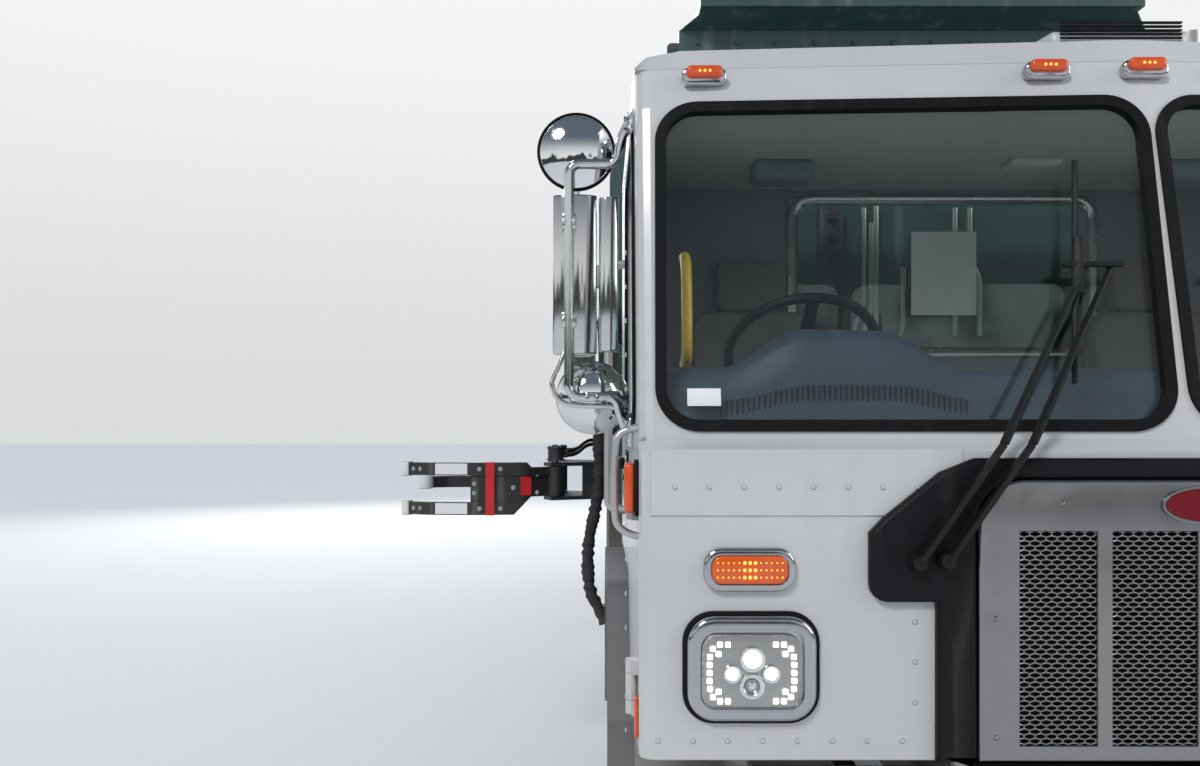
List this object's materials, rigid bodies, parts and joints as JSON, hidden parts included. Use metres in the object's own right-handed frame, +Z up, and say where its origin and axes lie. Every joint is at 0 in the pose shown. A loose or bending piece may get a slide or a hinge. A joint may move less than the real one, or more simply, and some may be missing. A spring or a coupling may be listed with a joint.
{
  "type": "side loading garbage truck",
  "caption": "Low cab forward refuse truck with tandem drive axles, an open hopper, a ribbed body, a lifting tailgate and a side arm with a cart gripper.",
  "frame": {"origin": "on the ground under the middle of the machine's bounding box", "axes": "+Y from the front bumper to the tailgate, +X to the machine's own left, +Z up"},
  "size_m": [3.7079, 9.98, 3.798],
  "materials": {
    "chassis_black": "satin chassis paint over steel, dusty",
    "cast_black": "cast and forged steel, painted black, worn",
    "spring_steel": "spring steel with dull paint and rust at the leaf edges",
    "cab_white": "gloss white paint over riveted aluminium sheet",
    "body_green": "dark green gloss paint, scuffed",
    "arm_green": "dark green paint worn at the edges",
    "bumper_steel": "white painted steel plate",
    "step_aluminium": "bare checker plate aluminium",
    "stainless": "bright stainless sheet, perforated",
    "black_plastic": "grained black moulding",
    "fender_grey": "dark grey moulded plastic",
    "screen_glass": "clear laminated glass, slightly green",
    "seal_rubber": "black rubber glazing seal",
    "lamp_chrome": "chromed bezel with clear lens",
    "lamp_amber": "amber lens",
    "lamp_red": "red lens",
    "dash_plastic": "dark blue-grey dashboard moulding",
    "seat_cloth": "beige seat cloth",
    "tyre_black": "black tyre rubber, dusty walls",
    "wheel_white": "white painted disc wheel",
    "exhaust_steel": "bright exhaust steel",
    "tank_aluminium": "bare aluminium tank",
    "mirror_grey": "black mirror housings and tube",
    "flap_rubber": "black rubber sheet",
    "hose_black": "black braided hose sleeve"
  },
  "bodies": {
    "chassis": {"frame": "chassis_black", "bumper": "bumper_steel", "steps": "step_aluminium", "fenders": "fender_grey", "axles": "cast_black", "springs": "spring_steel", "engine": "cast_black", "radiator": "chassis_black", "tanks": "tank_aluminium", "exhaust": "exhaust_steel", "body_sills": "body_green", "hopper": "body_green", "front_hood": "body_green", "body_shell": "body_green", "tail_lamps": "lamp_red", "mud_flaps": "flap_rubber"},
    "cab": {"cab_front": "cab_white", "cab_glass": "screen_glass", "screen_seals": "seal_rubber", "cab_roof": "cab_white", "cab_sides": "cab_white", "cab_rear": "cab_white", "cab_floor": "cab_white", "cowl": "black_plastic", "grille": "stainless", "head_lamps": "lamp_chrome", "amber_lamps": "lamp_amber", "wipers": "black_plastic", "dashboard": "dash_plastic", "steering_wheels": "black_plastic", "seats": "seat_cloth"},
    "tailgate": {"tailgate": "body_green"},
    "mast": {"mast": "arm_green", "hose_sleeve": "hose_black"},
    "lift_carriage": {"lift_carriage": "arm_green"},
    "swing_arm": {"swing_arm": "arm_green"},
    "gripper_near": {"gripper_near": "arm_green"},
    "gripper_far": {"gripper_far": "arm_green"},
    "door_right": {"door_right": "cab_white", "door_glass_right": "screen_glass", "mirrors_right": "mirror_grey"},
    "knuckle_right": {"knuckle_right": "cast_black"},
    "front_wheel_right": {"front_tyre_right": "tyre_black", "front_rim_right": "wheel_white"},
    "middle_wheels_right": {"middle_tyres_right": "tyre_black", "middle_rims_right": "wheel_white"},
    "rear_wheels_right": {"rear_tyres_right": "tyre_black", "rear_rims_right": "wheel_white"},
    "door_left": {"door_left": "cab_white", "door_glass_left": "screen_glass", "mirrors_left": "mirror_grey"},
    "knuckle_left": {"knuckle_left": "cast_black"},
    "front_wheel_left": {"front_tyre_left": "tyre_black", "front_rim_left": "wheel_white"},
    "middle_wheels_left": {"middle_tyres_left": "tyre_black", "middle_rims_left": "wheel_white"},
    "rear_wheels_left": {"rear_tyres_left": "tyre_black", "rear_rims_left": "wheel_white"}
  },
  "joints": [
    {"name": "cab_tilt", "type": "hinge", "parent": "chassis", "child": "cab", "pos_m": [0.409, -4.672, 1], "axis": [1, 0, 0], "range_deg": [0, 45]},
    {"name": "tailgate_lift", "type": "hinge", "parent": "chassis", "child": "tailgate", "pos_m": [0.409, 4.424, 3.752], "axis": [1, 0, 0], "range_deg": [0, 85]},
    {"name": "reach_slide", "type": "slide", "parent": "chassis", "child": "mast", "axis": [-1, 0, 0], "range_m": [0, 1.2]},
    {"name": "lift_slide", "type": "slide", "parent": "mast", "child": "lift_carriage", "axis": [0, 0, 1], "range_m": [-0.93, 0]},
    {"name": "dump_swing", "type": "hinge", "parent": "lift_carriage", "child": "swing_arm", "pos_m": [-0.831, -1.842, 2.3], "axis": [0, 1, 0], "range_deg": [0, 160]},
    {"name": "grip_near", "type": "hinge", "parent": "swing_arm", "child": "gripper_near", "pos_m": [-1.091, -2.057, 1.495], "axis": [0, 0, 1], "range_deg": [-12, 45]},
    {"name": "grip_far", "type": "hinge", "parent": "swing_arm", "child": "gripper_far", "pos_m": [-1.091, -1.627, 1.495], "axis": [0, 0, -1], "range_deg": [-12, 45]},
    {"name": "door_right_swing", "type": "hinge", "parent": "cab", "child": "door_right", "pos_m": [-0.8, -4.674, 1.4], "axis": [0, 0, 1], "range_deg": [0, 70]},
    {"name": "steer_right", "type": "hinge", "parent": "chassis", "child": "knuckle_right", "pos_m": [-0.451, -3.462, 0.54], "axis": [0, 0, 1], "range_deg": [-35, 35]},
    {"name": "front_spin_right", "type": "hinge", "parent": "knuckle_right", "child": "front_wheel_right", "pos_m": [-0.626, -3.462, 0.54], "axis": [1, 0, 0], "continuous": true},
    {"name": "middle_spin_right", "type": "hinge", "parent": "chassis", "child": "middle_wheels_right", "pos_m": [-0.506, 1.208, 0.54], "axis": [1, 0, 0], "continuous": true},
    {"name": "rear_spin_right", "type": "hinge", "parent": "chassis", "child": "rear_wheels_right", "pos_m": [-0.506, 2.578, 0.54], "axis": [1, 0, 0], "continuous": true},
    {"name": "door_left_swing", "type": "hinge", "parent": "cab", "child": "door_left", "pos_m": [1.618, -4.674, 1.4], "axis": [0, 0, -1], "range_deg": [0, 70]},
    {"name": "steer_left", "type": "hinge", "parent": "chassis", "child": "knuckle_left", "pos_m": [1.269, -3.462, 0.54], "axis": [0, 0, 1], "range_deg": [-35, 35]},
    {"name": "front_spin_left", "type": "hinge", "parent": "knuckle_left", "child": "front_wheel_left", "pos_m": [1.444, -3.462, 0.54], "axis": [1, 0, 0], "continuous": true},
    {"name": "middle_spin_left", "type": "hinge", "parent": "chassis", "child": "middle_wheels_left", "pos_m": [1.324, 1.208, 0.54], "axis": [1, 0, 0], "continuous": true},
    {"name": "rear_spin_left", "type": "hinge", "parent": "chassis", "child": "rear_wheels_left", "pos_m": [1.324, 2.578, 0.54], "axis": [1, 0, 0], "continuous": true}
  ],
  "couplings": [
    {"joint": "steer_left", "follows": "steer_right", "ratio": 1},
    {"joint": "grip_far", "follows": "grip_near", "ratio": 1}
  ]
}
